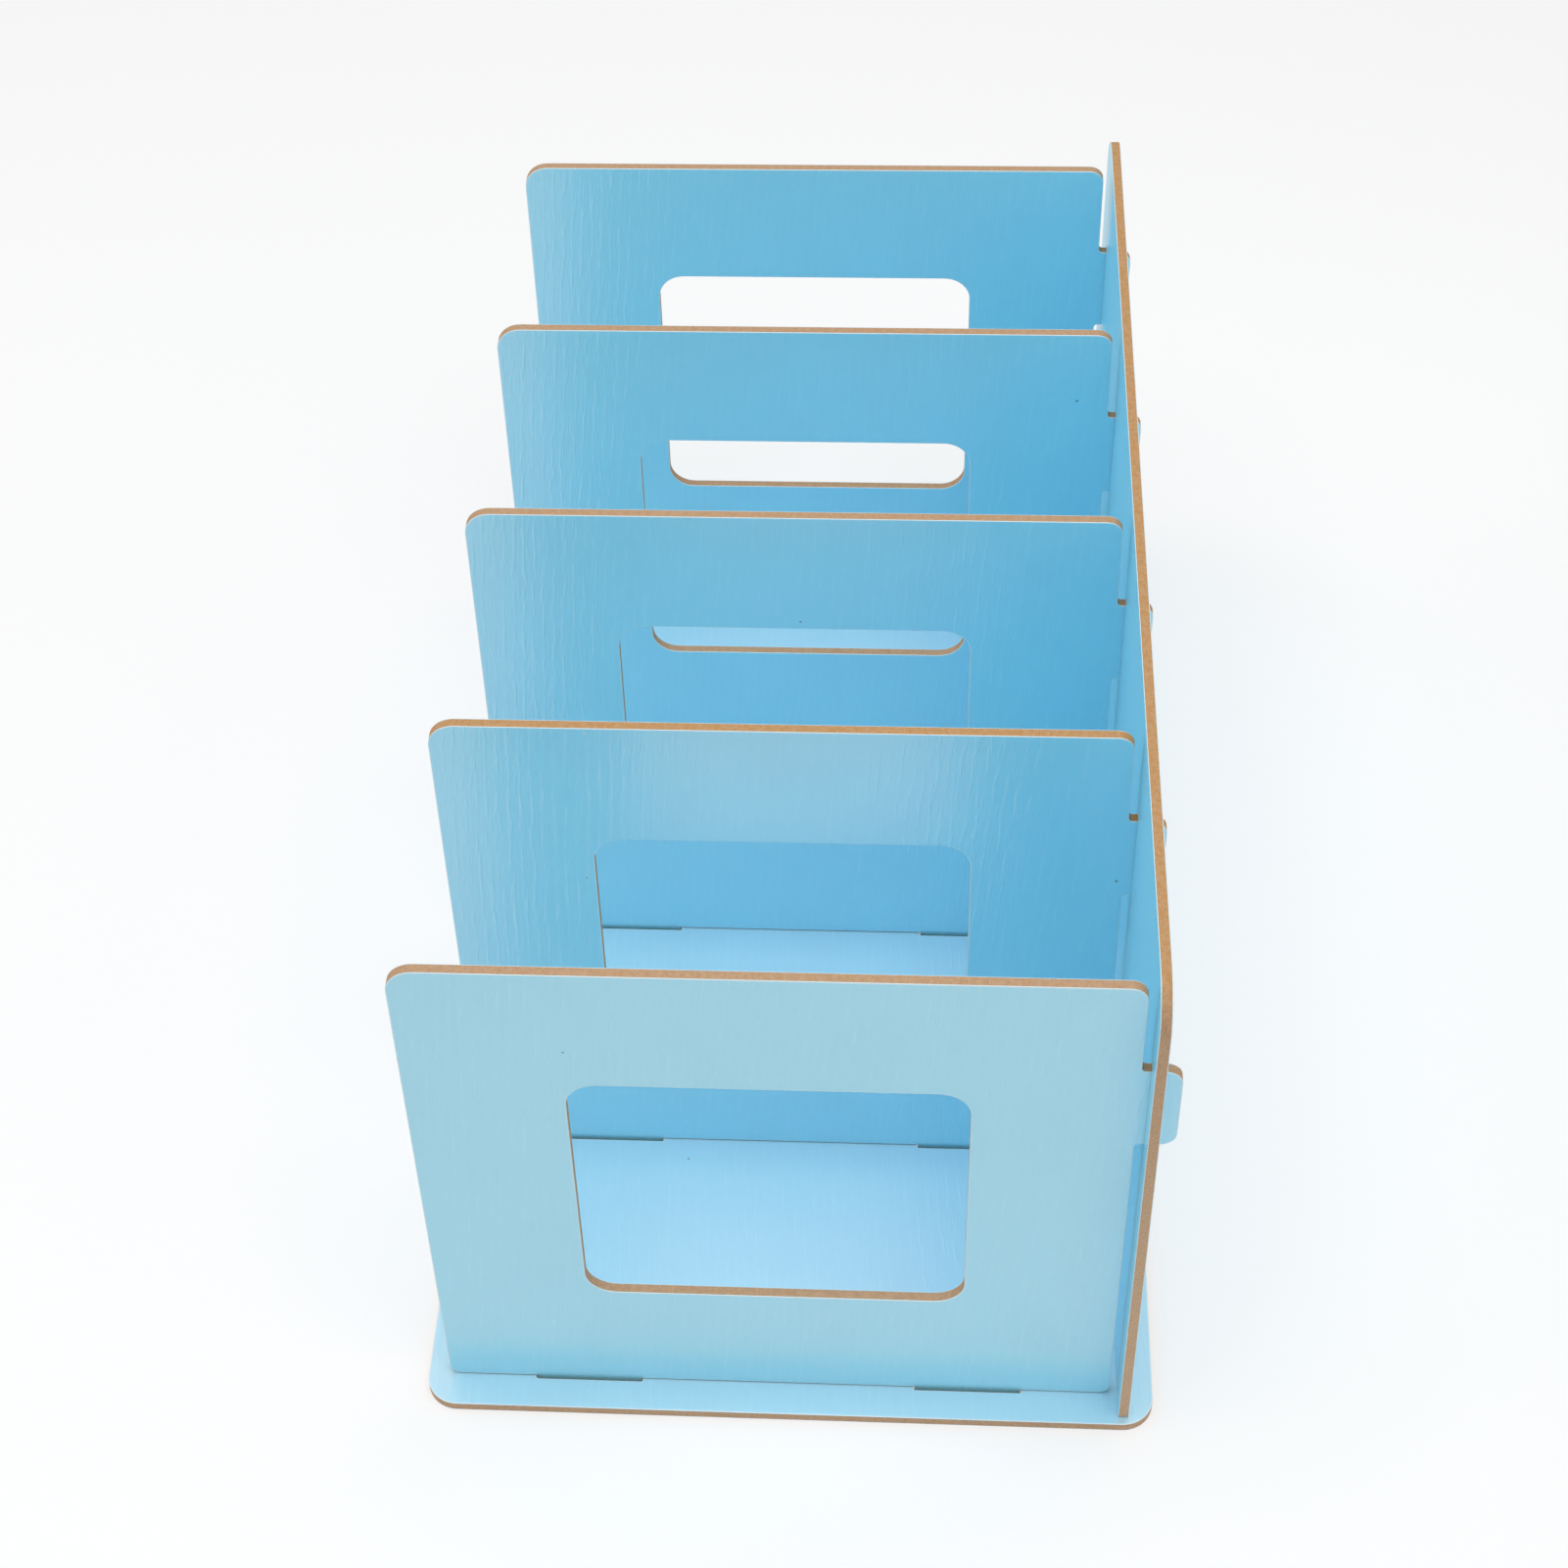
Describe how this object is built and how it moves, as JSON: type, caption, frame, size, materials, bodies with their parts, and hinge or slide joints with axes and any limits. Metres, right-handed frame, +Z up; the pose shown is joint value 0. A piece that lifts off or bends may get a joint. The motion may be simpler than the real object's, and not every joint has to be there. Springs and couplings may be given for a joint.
{
  "type": "desktop bookshelf",
  "caption": "Open desk rack of flat boards that slot together: a base, a tall back panel and upright windowed dividers that hold books, magazines or files.",
  "frame": {"origin": "middle of the base board's underside, on the surface that the rack stands on", "axes": "+Z up, +X along the row of dividers, +Y towards the back panel, so books go in from -Y"},
  "size_m": [0.3716, 0.2068, 0.186],
  "materials": {
    "laminated_board": "light blue wood-grain laminate with a satin sheen on both faces, bare brown fibreboard on the cut edges"
  },
  "bodies": {
    "root": {"base_board": "laminated_board", "back_panel": "laminated_board", "divider_1": "laminated_board", "divider_2": "laminated_board", "divider_3": "laminated_board", "divider_4": "laminated_board", "divider_5": "laminated_board"}
  },
  "joints": []
}
